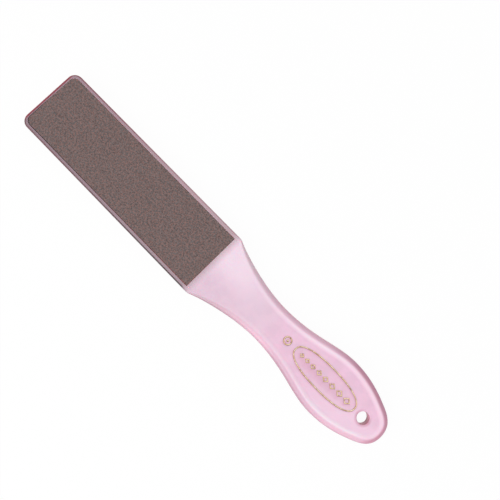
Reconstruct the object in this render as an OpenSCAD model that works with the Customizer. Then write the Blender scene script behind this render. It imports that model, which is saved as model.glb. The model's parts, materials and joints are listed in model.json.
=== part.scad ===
// Two-sided foot file: a one-piece moulded paddle and handle of translucent plastic,
// a coarse and a fine abrasive sheet glued into recesses in its two faces, and a raised
// emblem on the handle whose coarse side is stamped with gold foil.
// X runs along the file towards the handle's end, Z up out of the coarse face. The origin
// is under the middle of the length, in the plane that the file lies on.

/* [Abrasive sheets] */
// Length of each abrasive sheet
sheet_l = 120; // [90:1:140]
// Width of each abrasive sheet where the neck begins
sheet_w = 35; // [28:0.5:42]
// Width of each abrasive sheet at the far end
sheet_far_w = 34.2; // [28:0.1:35]
// Corner radius of a sheet at the far end
sheet_corner_r = 3.2; // [1:0.1:4]
// Thickness of the adhesive film under a sheet
adhesive_t = 0.15; // [0.1:0.05:0.3]
// Thickness of a sheet's backing
backing_t = 0.45; // [0.3:0.05:0.6]
// Thickness of the coarse grit coat
coarse_grit_t = 0.6; // [0.4:0.05:0.8]
// Thickness of the fine grit coat
fine_grit_t = 0.3; // [0.2:0.05:0.5]
// Gap between a sheet's long edge and the wall of its recess
sheet_side_gap = 0.25; // [0.2:0.05:0.8]
// Gap between a sheet's short edge and the wall of its recess
sheet_end_gap = 0.2; // [0.1:0.05:0.6]

/* [Paddle] */
// Width of the rim beside a sheet at the far end
rim_far_w = 1.95; // [1.4:0.05:2.5]
// Width of the rim beside a sheet where the neck begins
rim_neck_w = 2.35; // [1.4:0.05:3]
// Width of the rim across the far end
rim_end_w = 1.6; // [1.3:0.05:3]
// Corner radius of the paddle at the far end
paddle_corner_r = 4.8; // [3.8:0.1:5.5]
// Radius of the paddle's edges
paddle_edge_r = 0.8; // [0.4:0.1:1]
// Distance from the recess to the shoulder where the paddle narrows
shoulder_run = 2.9; // [2:0.1:8]
// Angle at which the neck leaves the paddle's side
shoulder_angle = 25; // [18:0.5:30]
// Length along each side that the shoulder's rounding takes up
shoulder_round = 1.5; // [0.8:0.1:2.2]

/* [Handle] */
// Thickness between the two flat faces
face_t = 7; // [5:0.1:8]
// Length of the neck, from the shoulder to the waist
neck_l = 41.7; // [34:0.1:50]
// Width of the waist
waist_w = 22.6; // [18:0.1:26]
// Length from the waist to the widest place of the grip
grip_rise_l = 48; // [38:0.1:56]
// Width of the grip at its widest place
grip_w = 36.4; // [30:0.1:40]
// Length from the widest place to the start of the rounded end
flank_l = 24.6; // [20:0.1:32]
// Width where the rounded end starts
flank_w = 26.4; // [22:0.1:27]
// Angle of the grip's side where the rounded end starts
flank_angle = 22; // [16:0.5:28]
// Length of the rounded end
cap_l = 12; // [10:0.1:14]
// Width of the rounding along the grip's edges, seen from above
grip_edge_w = 3.4; // [1.5:0.1:4]
// Height of the rounding along the grip's edges
grip_edge_v = 2.9; // [1.5:0.1:3.2]
// Height of the soft bead that runs round the grip inside its edge
bead_h = 0.3; // [0.2:0.05:0.6]
// Width of the bead's inner slope
bead_slope_w = 2.4; // [0.8:0.1:3]

/* [Hanging hole] */
// Diameter of the hanging hole
hole_d = 6.9; // [4:0.1:8]
// Distance from the hole's centre to the end of the handle
hole_inset = 14.4; // [12:0.1:18]
// Radius of the hole's softened rims
hole_rim_r = 0.7; // [0.4:0.1:1.2]

/* [Emblem] */
// Length of the oval line
oval_l = 45; // [40:0.5:48]
// Width of the oval line, measured over it
oval_w = 14.6; // [12:0.1:18]
// Distance from the hole's edge to the oval
oval_gap = 3; // [2:0.1:6]
// Width of the emblem's raised lines
line_w = 0.8; // [0.6:0.05:1]
// Height of the raised lines above the face
line_h = 0.25; // [0.15:0.05:0.4]
// Thickness of the gold foil
foil_t = 0.05; // [0.02:0.01:0.08]
// Number of lozenges in the oval
lozenge_count = 8; // [5:1:8]
// Length of the largest lozenge, next to the hanging hole
lozenge_max = 5; // [4:0.1:5.5]
// Length of the smallest lozenge
lozenge_min = 3.2; // [3:0.1:4]
// Width of the lozenges' raised lines
lozenge_line_w = 0.7; // [0.5:0.05:0.8]
// Space between neighbouring lozenges
lozenge_gap = 0.7; // [0.4:0.05:1]
// Outer diameter of the small ring
ring_d = 5; // [4:0.1:6]
// Diameter of the dot in the small ring
ring_dot_d = 1.4; // [1:0.1:2]
// Space between the oval and the small ring
ring_gap = 3.1; // [2:0.1:5]

/* [Hidden] */

// Reach of every cut past the face that it opens
overrun = 1;
// Depth to which a raised line is rooted in the handle
root_depth = 0.5;

// Handles of the side's curves, each as a share of the length or half-width that it follows
neck_shares = [0.09, 0.39];
rise_shares = [0.48, 0.295];
flank_shares = [0.355, 0.33];
cap_shares = [0.422, 0.674];
// Share of the oval's half-size by which its curve is fuller than an ellipse
oval_fullness_share = 0.15;
// Share of a lozenge's length that is its width
lozenge_width_share = 0.86;

// Steps along each stretch of the outline, and round the edge and the bead's slope
corner_steps = 8;
shoulder_steps = 5;
neck_steps = 16;
rise_steps = 16;
flank_steps = 10;
cap_steps = 12;
edge_steps = 7;
bead_steps = 4;
rim_steps = 4;
oval_steps = 60;
$fn = 96;

// Places along the file, from the far end
sheet_x = rim_end_w + sheet_end_gap;
recess_l = sheet_l + 2 * sheet_end_gap;
recess_w = sheet_w + 2 * sheet_side_gap;
recess_far_w = sheet_far_w + 2 * sheet_side_gap;
shoulder_x = rim_end_w + recess_l + shoulder_run;
waist_x = shoulder_x + neck_l;
grip_x = waist_x + grip_rise_l;
flank_x = grip_x + flank_l;
file_l = flank_x + cap_l;
hole_x = file_l - hole_inset;
oval_x = hole_x - hole_d / 2 - oval_gap - oval_l / 2;
ring_x = oval_x - oval_l / 2 - ring_gap - ring_d / 2;

// Half-widths of the paddle
far_half_w = recess_far_w / 2 + rim_far_w;
shoulder_half_w = recess_w / 2 + rim_neck_w;

// Heights. The grit surfaces stand as high as the beads, so the file lies flat on either side.
face_half_t = face_t / 2;
mid_z = face_half_t + bead_h;
file_t = 2 * mid_z;
coarse_stack_t = adhesive_t + backing_t + coarse_grit_t;
fine_stack_t = adhesive_t + backing_t + fine_grit_t;
coarse_recess_t = coarse_stack_t - bead_h;
fine_recess_t = fine_stack_t - bead_h;

// Colours
body_colour = "#EFC4DA";
adhesive_colour = "#C98A90";
coarse_backing_colour = "#6E5A55";
coarse_colour = "#796765";
fine_backing_colour = "#2B3D46";
fine_colour = "#233F4E";
foil_colour = "#D3B272";

// A share between 0 and 1 that leaves 0 and reaches 1 smoothly
function smooth(u) = let (c = min(max(u, 0), 1)) c * c * (3 - 2 * c);

// Points of a cubic curve with four control points, without its first point
function curve(a, b, c, d, steps) = [
    for (i = [1:steps]) let (t = i / steps, s = 1 - t)
        s * s * s * a + 3 * s * s * t * b + 3 * s * t * t * c + t * t * t * d
];

function unit(v) = v / norm(v);

// The outline's half with positive Y, from the far end to the tip
far_corner_points = [
    for (i = [0:corner_steps]) let (a = 180 - 90 * i / corner_steps)
        [paddle_corner_r * (1 + cos(a)), far_half_w - paddle_corner_r * (1 - sin(a))]
];
side_slope = (shoulder_half_w - far_half_w) / (shoulder_x - paddle_corner_r);
shoulder_corner = [shoulder_x, shoulder_half_w];
shoulder_from = shoulder_corner - shoulder_round * [1, side_slope];
shoulder_to = shoulder_corner + shoulder_round * [1, -tan(shoulder_angle)];
shoulder_points = concat(
    [shoulder_from],
    curve(
        shoulder_from,
        (shoulder_from + 2 * shoulder_corner) / 3,
        (shoulder_to + 2 * shoulder_corner) / 3,
        shoulder_to,
        shoulder_steps
    )
);
waist_point = [waist_x, waist_w / 2];
grip_point = [grip_x, grip_w / 2];
flank_point = [flank_x, flank_w / 2];
neck_points = curve(
    shoulder_to,
    shoulder_to + neck_shares[0] * neck_l * [1, -tan(shoulder_angle)],
    waist_point - [neck_shares[1] * neck_l, 0],
    waist_point,
    neck_steps
);
rise_points = curve(
    waist_point,
    waist_point + [rise_shares[0] * grip_rise_l, 0],
    grip_point - [rise_shares[1] * grip_rise_l, 0],
    grip_point,
    rise_steps
);
flank_points = curve(
    grip_point,
    grip_point + [flank_shares[0] * flank_l, 0],
    flank_point - flank_shares[1] * flank_l * [1, -tan(flank_angle)],
    flank_point,
    flank_steps
);
cap_points = curve(
    flank_point,
    flank_point + cap_shares[0] * cap_l * [1, -tan(flank_angle)],
    [file_l, cap_shares[1] * flank_w / 2],
    [file_l, 0],
    cap_steps
);
half_outline = concat(
    far_corner_points, shoulder_points, neck_points, rise_points, flank_points, cap_points
);
tip_i = len(half_outline) - 1;
outline_n = 2 * tip_i + 1;
outline = concat(
    half_outline,
    [for (i = [tip_i - 1:-1:0]) [half_outline[i][0], -half_outline[i][1]]]
);

// Direction out of the outline at each of its points, across the mean of its two sides
outline_out = [
    for (i = [0:outline_n - 1])
        let (
            here = outline[i],
            before = outline[(i + outline_n - 1) % outline_n],
            after = outline[(i + 1) % outline_n],
            along = unit(unit(here - before) + unit(after - here))
        )
        [-along[1], along[0]]
];

// Along the neck the edge's rounding grows quickly from the paddle's to the grip's, and the
// bead rises slowly up to the grip's widest place
function edge_share(x) =
    let (u = min(max((x - shoulder_x) / (waist_x - shoulder_x), 0), 1)) 1 - pow(1 - u, 3);
function bead_share(x) = smooth((x - shoulder_x) / (grip_x - shoulder_x));

// Steps of the edge's section at a place x along the file, from the parting line over the
// rounded edge and the bead to the flat face: distance in from the outline, and height
// above the middle
function edge_section(x) =
    let (
        w = paddle_edge_r + (grip_edge_w - paddle_edge_r) * edge_share(x),
        v = paddle_edge_r + (grip_edge_v - paddle_edge_r) * edge_share(x),
        slope_w = bead_slope_w * w / grip_edge_w,
        bead = bead_h * bead_share(x)
    )
    concat(
        [
            for (i = [0:edge_steps]) let (a = 90 * i / edge_steps)
                [w * (1 - cos(a)), face_half_t + bead - v * (1 - sin(a))]
        ],
        [
            for (i = [1:bead_steps]) let (s = i / bead_steps)
                [w + slope_w * s, face_half_t + bead * (1 + cos(180 * s)) / 2]
        ]
    );
side_rings = edge_steps + bead_steps + 1;
ring_count = 2 * side_rings;

// The moulded blank before its recesses, hole and emblem: rings of the edge's section,
// from the inner edge of the lower face round to that of the upper face
module blank() {
    sections = [for (p = outline) edge_section(p[0])];
    points = [
        for (r = [0:ring_count - 1], i = [0:outline_n - 1])
            let (
                upper = r >= side_rings,
                step = upper ? r - side_rings : side_rings - 1 - r,
                at = sections[i][step],
                place = outline[i] - at[0] * outline_out[i]
            )
            [place[0], place[1], mid_z + (upper ? at[1] : -at[1])]
    ];
    bands = [
        for (r = [0:ring_count - 2], i = [0:outline_n - 1])
            let (
                next = (i + 1) % outline_n,
                a = r * outline_n + i,
                b = r * outline_n + next,
                c = a + outline_n,
                d = b + outline_n
            )
            each [[a, b, c], [b, d, c]]
    ];
    // A face between an inner ring's two mirrored halves, as strips across it
    function across(first) = concat(
        [
            for (i = [0:tip_i - 2])
                [first + i, first + i + 1, first + 2 * tip_i - i - 1, first + 2 * tip_i - i]
        ],
        [[first + tip_i - 1, first + tip_i, first + tip_i + 1]]
    );
    function turned(face) = [for (i = [len(face) - 1:-1:0]) face[i]];
    lower = [for (f = across(0)) turned(f)];
    upper = across((ring_count - 1) * outline_n);
    polyhedron(points = points, faces = concat(bands, lower, upper));
}

// A sheet's outline, or its recess's: square at the neck, and a little narrower at the far
// end, whose round corners run into the slanted sides
module far_rounded(l, far_w, w, r) {
    polygon([[l, -w / 2], [l, w / 2], [r, far_w / 2], [r, -far_w / 2]]);
    translate([0, r - far_w / 2]) square([l, far_w - 2 * r]);
    for (side = [-1, 1]) translate([r, side * (far_w / 2 - r)]) circle(r = r);
}

// The space in which a sheet is glued, open on the side that z points to
module recess(depth) {
    translate([rim_end_w, 0, face_half_t - depth])
        linear_extrude(height = depth + overrun)
            far_rounded(recess_l, recess_far_w, recess_w, sheet_corner_r + sheet_end_gap);
}

// The hanging hole with its two softened rims
module hole_cut() {
    hole_r = hole_d / 2;
    translate([hole_x, 0, -face_half_t - overrun]) cylinder(r = hole_r, h = face_t + 2 * overrun);
    for (side = [0, 1])
        mirror([0, 0, side])
            translate([hole_x, 0, 0])
                rotate_extrude()
                    polygon(concat(
                        [[0, face_half_t - hole_rim_r]],
                        [
                            for (i = [0:rim_steps]) let (a = 90 * i / rim_steps)
                                [
                                    hole_r + hole_rim_r * (1 - cos(a)),
                                    face_half_t - hole_rim_r * (1 - sin(a)),
                                ]
                        ],
                        [
                            [hole_r + hole_rim_r, face_half_t + overrun],
                            [0, face_half_t + overrun],
                        ]
                    ));
}

// Power of a number's size that keeps its sign
function signed_pow(v, power) = sign(v) * pow(abs(v), power);

// A full oval between an ellipse and a rectangle, given over its whole length and width
module oval(l, w) {
    power = 1 - oval_fullness_share;
    polygon([
        for (i = [0:oval_steps - 1]) let (a = 360 * i / oval_steps)
            [l / 2 * signed_pow(cos(a), power), w / 2 * signed_pow(sin(a), power)]
    ]);
}

module oval_line() {
    translate([oval_x, 0]) difference() {
        oval(oval_l, oval_w);
        oval(oval_l - 2 * line_w, oval_w - 2 * line_w);
    }
}

// Lengths of the lozenges, from the smallest to the largest, and the row's own length
lozenge_sizes = [
    for (i = [0:lozenge_count - 1])
        lozenge_min + (lozenge_max - lozenge_min) * i / (lozenge_count - 1)
];
function sum_to(list, n) = n == 0 ? 0 : list[n - 1] + sum_to(list, n - 1);
row_l = sum_to(lozenge_sizes, lozenge_count) + (lozenge_count - 1) * lozenge_gap;

// How much shorter a lozenge gets for each unit of distance that its sides move in
lozenge_shrink = 2 * norm([1, lozenge_width_share]) / lozenge_width_share;

module lozenge(l) {
    w = l * lozenge_width_share;
    polygon([[l / 2, 0], [0, w / 2], [-l / 2, 0], [0, -w / 2]]);
}

// A row of lozenge frames inside the oval that grow towards the hanging hole
module lozenge_row() {
    for (i = [0:lozenge_count - 1]) {
        size = lozenge_sizes[i];
        x = oval_x - row_l / 2 + sum_to(lozenge_sizes, i) + i * lozenge_gap + size / 2;
        translate([x, 0]) difference() {
            lozenge(size);
            lozenge(size - lozenge_shrink * lozenge_line_w);
        }
    }
}

module small_ring() {
    translate([ring_x, 0]) {
        difference() {
            circle(d = ring_d);
            circle(d = ring_d - 2 * line_w);
        }
        circle(d = ring_dot_d);
    }
}

// The raised lines of one face
module raised_lines() {
    translate([0, 0, face_half_t - root_depth]) linear_extrude(height = root_depth + line_h) {
        oval_line();
        lozenge_row();
        small_ring();
    }
}

// Places what is drawn from the far end and the middle height into the part's frame
module from_far_end() {
    translate([-file_l / 2, 0, 0]) children();
}

module at_middle() {
    from_far_end() translate([0, 0, mid_z]) children();
}

module handle_body() {
    color(body_colour) difference() {
        union() {
            from_far_end() blank();
            at_middle() {
                raised_lines();
                mirror([0, 0, 1]) raised_lines();
            }
        }
        at_middle() {
            recess(coarse_recess_t);
            mirror([0, 0, 1]) recess(fine_recess_t);
            hole_cut();
        }
    }
}

// One layer of a sheet from a height z up
module sheet_layer(z, t) {
    from_far_end() translate([sheet_x, 0, z])
        linear_extrude(height = t) far_rounded(sheet_l, sheet_far_w, sheet_w, sheet_corner_r);
}

module coarse_adhesive() {
    color(adhesive_colour) sheet_layer(file_t - coarse_stack_t, adhesive_t);
}

module coarse_backing() {
    color(coarse_backing_colour) sheet_layer(file_t - coarse_grit_t - backing_t, backing_t);
}

module coarse_grit() {
    color(coarse_colour) sheet_layer(file_t - coarse_grit_t, coarse_grit_t);
}

module fine_adhesive() {
    color(adhesive_colour) sheet_layer(fine_grit_t + backing_t, adhesive_t);
}

module fine_backing() {
    color(fine_backing_colour) sheet_layer(fine_grit_t, backing_t);
}

module fine_grit() {
    color(fine_colour) sheet_layer(0, fine_grit_t);
}

// Foil on top of raised lines of the coarse face
module foil() {
    color(foil_colour) at_middle() translate([0, 0, face_half_t + line_h])
        linear_extrude(height = foil_t) children();
}

module oval_foil() {
    foil() oval_line();
}

module lozenge_foil() {
    foil() lozenge_row();
}

module ring_foil() {
    foil() small_ring();
}

handle_body();
coarse_adhesive();
coarse_backing();
coarse_grit();
fine_adhesive();
fine_backing();
fine_grit();
oval_foil();
lozenge_foil();
ring_foil();
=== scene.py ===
"""Dresses a packed two-sided foot file for a plain studio picture, seen from nearly above.

One moulding of translucent pink plastic carries a coarse and a fine abrasive sheet and an
emblem of raised lines, whose coarse side is stamped with gold foil. Lengths in the classes
and in the materials are millimetres, and a mesh becomes metres when its object is made.
"""

from __future__ import annotations

import json
import logging
import math
from collections.abc import Iterator
from dataclasses import dataclass, field
from enum import Enum
from typing import Any, ClassVar

import bmesh
import bpy
import numpy as np
from mathutils import Matrix, Vector
from mathutils.geometry import delaunay_2d_cdt

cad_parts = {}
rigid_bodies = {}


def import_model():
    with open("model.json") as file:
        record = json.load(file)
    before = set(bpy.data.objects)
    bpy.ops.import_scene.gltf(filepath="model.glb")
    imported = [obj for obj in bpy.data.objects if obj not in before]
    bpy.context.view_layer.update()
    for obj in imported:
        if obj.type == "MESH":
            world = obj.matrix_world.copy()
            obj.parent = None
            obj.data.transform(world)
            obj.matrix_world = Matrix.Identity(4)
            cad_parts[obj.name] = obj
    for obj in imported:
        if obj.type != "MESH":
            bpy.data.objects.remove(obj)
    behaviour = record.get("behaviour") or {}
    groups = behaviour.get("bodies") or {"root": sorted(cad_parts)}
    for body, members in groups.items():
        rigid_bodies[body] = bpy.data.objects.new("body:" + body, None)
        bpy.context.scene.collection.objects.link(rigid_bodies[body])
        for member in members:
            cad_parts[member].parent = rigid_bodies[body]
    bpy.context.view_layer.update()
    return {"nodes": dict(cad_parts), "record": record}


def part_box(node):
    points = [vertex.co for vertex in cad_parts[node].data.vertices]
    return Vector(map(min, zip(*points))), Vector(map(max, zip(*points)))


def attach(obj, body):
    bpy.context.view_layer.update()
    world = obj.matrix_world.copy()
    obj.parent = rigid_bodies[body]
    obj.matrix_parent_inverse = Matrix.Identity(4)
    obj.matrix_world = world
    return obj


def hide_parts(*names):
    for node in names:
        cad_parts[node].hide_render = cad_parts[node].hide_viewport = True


MM = 0.001
LOG = logging.getLogger("foot_file")
WHITE = (1, 1, 1, 1)

# Width of both sheets at the far end, where they are a little narrower than at the neck
SHEET_FAR_W = 34.2

# How a flat face is filled: all triangles of its plan are found first, and places that lie
# nearer to each other than this count as one
WHOLE_PLAN, SAME_PLACE = 0, 1e-7

# Numbers of the colour sockets on a Mix node, whose names are not unique
MIX_SHARE, MIX_BELOW, MIX_ABOVE = 0, 6, 7


class Side(Enum):
    """The file's two faces, each with the direction in which it looks along z."""

    COARSE = 1
    FINE = -1


class Tone(Enum):
    """Shares that a mesh carries from point to point for its material to read."""

    EDGE = "edge_share"
    CREST = "crest_share"
    WALL = "wall_share"
    LINE = "line_share"
    GRAIN = "grain_tone"
    BED = "bed_share"


def box_mm(node: str) -> tuple[np.ndarray, np.ndarray]:
    """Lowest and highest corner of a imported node, in millimetres."""
    low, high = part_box(node)
    return np.array(low) / MM, np.array(high) / MM


def smooth(share: Any) -> Any:
    """A share from 0 to 1 that leaves 0 and reaches 1 without a kink."""
    share = np.clip(share, 0.0, 1.0)
    return share * share * (3 - 2 * share)


def ramp(ends: tuple[float, float], share: Any) -> Any:
    """The value at a share of the way from one end to the other."""
    return ends[0] + (ends[1] - ends[0]) * share


def unit(vectors: np.ndarray) -> np.ndarray:
    """Vectors brought to length 1, one in each row."""
    return vectors / np.linalg.norm(vectors, axis=1)[:, None]


def straight(a: np.ndarray, b: np.ndarray, steps: int) -> np.ndarray:
    """Points on the way from a to b, without a itself."""
    return a + (b - a) * (np.arange(1, steps + 1) / steps)[:, None]


def bezier(a: np.ndarray, b: np.ndarray, c: np.ndarray, d: np.ndarray, steps: int) -> np.ndarray:
    """Points along a cubic curve, without its first point.

    Args:
        a, b, c, d: Its control points.
        steps: How many points to give.

    Returns:
        The points, one in each row.
    """
    t = (np.arange(1, steps + 1) / steps)[:, None]
    s = 1 - t
    return s**3 * a + 3 * s**2 * t * b + 3 * s * t**2 * c + t**3 * d


def quarter_round(steps: int) -> Iterator[tuple[float, float]]:
    """Steps down a rounded edge.

    Args:
        steps: How many there are.

    Yields:
        How far a step stands out from the wall and how far down it is, as shares of the
        radius.
    """
    for turn in np.radians(np.linspace(90, 0, steps)):
        yield 1 - math.cos(turn), 1 - math.sin(turn)


def over_both(rows: list[tuple]) -> Iterator[tuple]:
    """Goes down a section from the coarse face and on to the fine one.

    Args:
        rows: The section's rows, from the face to the middle.

    Yields:
        Each row, after the side that it is on.
    """
    for side, ordered in ((Side.COARSE, rows), (Side.FINE, rows[::-1])):
        for row in ordered:
            yield side, *row


def between(
    triangles: list[tuple[int, ...]], borders: set[frozenset[int]]
) -> list[tuple[int, ...]]:
    """Picks the triangles of a plan that lie between its rings.

    A way from outside the plan is within the face after it crosses one ring, in a gap after
    the second, and within the face again after the third.

    Args:
        triangles: Numbers of the corners of all the plan's triangles.
        borders: Pairs of the numbers that follow each other on a ring.

    Returns:
        The triangles of the face.
    """
    sides: dict[frozenset[int], list[int]] = {}
    for index, (a, b, c) in enumerate(triangles):
        for pair in ((a, b), (b, c), (c, a)):
            sides.setdefault(frozenset(pair), []).append(index)
    reached: dict[int, bool] = {}
    ways = [(both[0], pair in borders) for pair, both in sides.items() if len(both) == 1]
    while ways:
        index, is_within = ways.pop()
        if index in reached:
            continue
        reached[index] = is_within
        a, b, c = triangles[index]
        for pair in map(frozenset, ((a, b), (b, c), (c, a))):
            ways += [(other, is_within != (pair in borders)) for other in sides[pair]]
    return [triangle for index, triangle in enumerate(triangles) if reached[index]]


@dataclass(frozen=True)
class TaperedPlan:
    """Plan of a sheet or a recess, with round far corners and nearly sharp ones at the neck.

    The first value of each pair is for the far end, and the second for the end at the neck.
    """

    x: tuple[float, float]
    half_w: tuple[float, float]
    corner_r: tuple[float, float]
    steps: int = 12
    least_r: float = 0.02

    def at(self, shift: float) -> np.ndarray:
        """Points of the plan.

        Args:
            shift: How far they are moved out, or in where it is negative.

        Returns:
            The points, one in each row.
        """
        points = []
        for end, side, start in ((0, 1, 180), (1, 1, 90), (1, -1, 0), (0, -1, -90)):
            reach = max(self.corner_r[end] + shift, self.least_r)
            x = self.x[end] + (reach - shift) * (1 if end == 0 else -1)
            share = (x - self.x[0]) / (self.x[1] - self.x[0])
            half = ramp(self.half_w, share)
            for turn in np.radians(np.linspace(start, start - 90, self.steps)):
                y = side * (half - reach + shift) + reach * math.sin(turn)
                points.append((x + reach * math.cos(turn), y))
        return np.array(points)


@dataclass
class Ring:
    """A closed ring of a shell's points: their numbers and their places in the plane."""

    ids: np.ndarray
    xy: np.ndarray


class Shell:
    """Collects the rings and faces of one closed mesh, in millimetres."""

    def __init__(self, *tones: Tone) -> None:
        """Starts an empty shell.

        Args:
            tones: The shares that its points will carry.
        """
        self.points: list[np.ndarray] = []
        self.faces: list[tuple[int, ...]] = []
        self.tones: dict[Tone, list[np.ndarray]] = {tone: [] for tone in tones}
        self.size = 0

    def ring(self, xy: np.ndarray, z: Any, tones: dict[Tone, Any] | None = None) -> Ring:
        """Adds a ring of points.

        Args:
            xy: Places in the plane, one in each row.
            z: One height, or one for each point.
            tones: Shares of the points. One that isn't given is 0.

        Returns:
            The new ring.
        """
        count = len(xy)
        self.points.append(np.column_stack([xy, np.broadcast_to(z, count)]))
        for tone, values in self.tones.items():
            values.append(np.broadcast_to((tones or {}).get(tone, 0.0), count))
        ids = np.arange(self.size, self.size + count)
        self.size += count
        return Ring(ids, np.asarray(xy))

    def band(self, rings: list[Ring], closed: bool = False) -> None:
        """Joins rings of equally many points by quads.

        Args:
            rings: The rings in order. Each is joined to the next.
            closed: Whether the last is joined to the first as well.
        """
        for a, b in zip(rings, rings[1:] + rings[: 1 if closed else 0]):
            quads = [a.ids, np.roll(a.ids, -1), np.roll(b.ids, -1), b.ids]
            self.faces += [tuple(quad) for quad in np.stack(quads, 1).tolist()]

    def fan(self, rim: Ring, z: float, tones: dict[Tone, Any] | None = None) -> None:
        """Closes a ring by triangles that meet in a point at its middle.

        Args:
            rim: The ring to close.
            z: Height of the middle point.
            tones: Shares of the middle point.
        """
        middle = int(self.ring(rim.xy.mean(axis=0)[None], z, tones).ids[0])
        self.faces += [(int(a), int(b), middle) for a, b in zip(rim.ids, np.roll(rim.ids, -1))]

    def fill(self, *rings: Ring) -> None:
        """Fills a flat face between rings by triangles.

        Args:
            rings: The ring round the whole face, the ring round each gap in it, and the ring
                round each part of it that lies within a gap.
        """
        edges, start = [], 0
        for ring in rings:
            count = len(ring.ids)
            edges += [(start + i, start + (i + 1) % count) for i in range(count)]
            start += count
        ids = np.concatenate([ring.ids for ring in rings])
        places = [Vector(p) for p in np.concatenate([ring.xy for ring in rings])]
        found = delaunay_2d_cdt(places, edges, [], WHOLE_PLAN, SAME_PLACE, True)
        _, _, corners, numbers, _, _ = found
        triangles = [tuple(numbers[i][0] for i in face) for face in corners]
        borders = {frozenset(edge) for edge in edges}
        self.faces += [tuple(ids[list(t)].tolist()) for t in between(triangles, borders)]

    def mesh_object(self, name: str, smooth_faces: bool = True) -> bpy.types.Object:
        """Makes the shell an object in the scene, with its faces turned outwards.

        Args:
            name: The object's name.
            smooth_faces: Whether its faces are shaded smoothly.

        Returns:
            The new object, at the origin.
        """
        mesh = bpy.data.meshes.new(name)
        mesh.from_pydata((np.concatenate(self.points) * MM).tolist(), [], self.faces)
        work = bmesh.new()
        work.from_mesh(mesh)
        bmesh.ops.recalc_face_normals(work, faces=work.faces)
        work.to_mesh(mesh)
        work.free()
        for tone, values in self.tones.items():
            attribute = mesh.attributes.new(tone.value, "FLOAT", "POINT")
            attribute.data.foreach_set("value", np.concatenate(values).astype(np.float32))
        mesh.polygons.foreach_set("use_smooth", [smooth_faces] * len(mesh.polygons))
        return put_object(name, mesh)


def seat(piece: bpy.types.Object, slot: str, *nodes: str) -> None:
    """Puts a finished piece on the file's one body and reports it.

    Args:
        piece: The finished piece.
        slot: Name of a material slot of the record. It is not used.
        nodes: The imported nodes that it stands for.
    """
    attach(piece, "root")
    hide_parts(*nodes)
    LOG.info("%s: %d faces, for %s", piece.name, len(piece.data.polygons), ", ".join(nodes))


def put_object(name: str, data: bpy.types.ID) -> bpy.types.Object:
    """Makes an object of a mesh, lamp or camera and links it to the scene.

    Args:
        name: The object's name.
        data: What it shows.

    Returns:
        The new object, at the origin.
    """
    made = bpy.data.objects.new(name, data)
    bpy.context.scene.collection.objects.link(made)
    return made


def empty_tree(owner: bpy.types.Material | bpy.types.World) -> bpy.types.NodeTree:
    """Gives a material or a world a node tree with nothing in it.

    Args:
        owner: The material or world.

    Returns:
        The tree.
    """
    owner.use_nodes = True
    owner.node_tree.nodes.clear()
    return owner.node_tree


def add_node(
    tree: bpy.types.NodeTree,
    kind: str,
    inputs: dict[str | int, Any] | None = None,
    **settings: Any,
) -> bpy.types.Node:
    """Adds a node to a tree.

    Args:
        tree: The tree that gets the node.
        kind: The node's type.
        inputs: What goes into its inputs, by name or number. A socket is linked, a node is
            linked by the first output that it has in use, and anything else is set as the
            input's value.
        settings: Its other settings by name.

    Returns:
        The new node.
    """
    node = tree.nodes.new(kind)
    for name, value in settings.items():
        setattr(node, name, value)
    for key, value in (inputs or {}).items():
        if isinstance(value, bpy.types.Node):
            value = next(socket for socket in value.outputs if socket.enabled)
        if isinstance(value, bpy.types.NodeSocket):
            tree.links.new(value, node.inputs[key])
        else:
            node.inputs[key].default_value = value
    return node


def linear(colour: str) -> tuple[float, float, float, float]:
    """Turns a colour into linear light.

    Args:
        colour: An sRGB value such as "#EFC4DA".

    Returns:
        Its linear red, green and blue, and alpha 1.
    """
    parts = [int(colour[i : i + 2], 16) / 255 for i in (1, 3, 5)]
    parts = [p / 12.92 if p <= 0.04045 else ((p + 0.055) / 1.055) ** 2.4 for p in parts]
    return (*parts, 1.0)


@dataclass(frozen=True)
class Fade:
    """A share that goes smoothly from low to high while its signal goes from start to end.

    The signal is a place "x", "y" or "z" in millimetres, a tone of the mesh, or the name of
    a noise or a share of the finish.
    """

    signal: str | Tone
    start: float
    end: float
    low: float = 0.0
    high: float = 1.0


@dataclass(frozen=True)
class Blend:
    """A tint that gives way to another one, as far as a share says."""

    share: Share
    below: Tint
    above: Tint


# Several shares in a tuple stand for their product, and a pair of colours for a tint that goes
# from the first at -Y to the second at +Y, by the finish's share "far_side"
Share = str | Tone | float | Fade | tuple
Tint = str | tuple[str, str] | Blend


def layered(ground: Tint, *layers: tuple[Share, Tint]) -> Tint:
    """Lays tints over a ground.

    Args:
        ground: The lowest tint.
        layers: For each tint over it how dense it is, and the tint.

    Returns:
        The tint that they make together.
    """
    for share, tint in layers:
        ground = Blend(share, ground, tint)
    return ground


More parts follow.
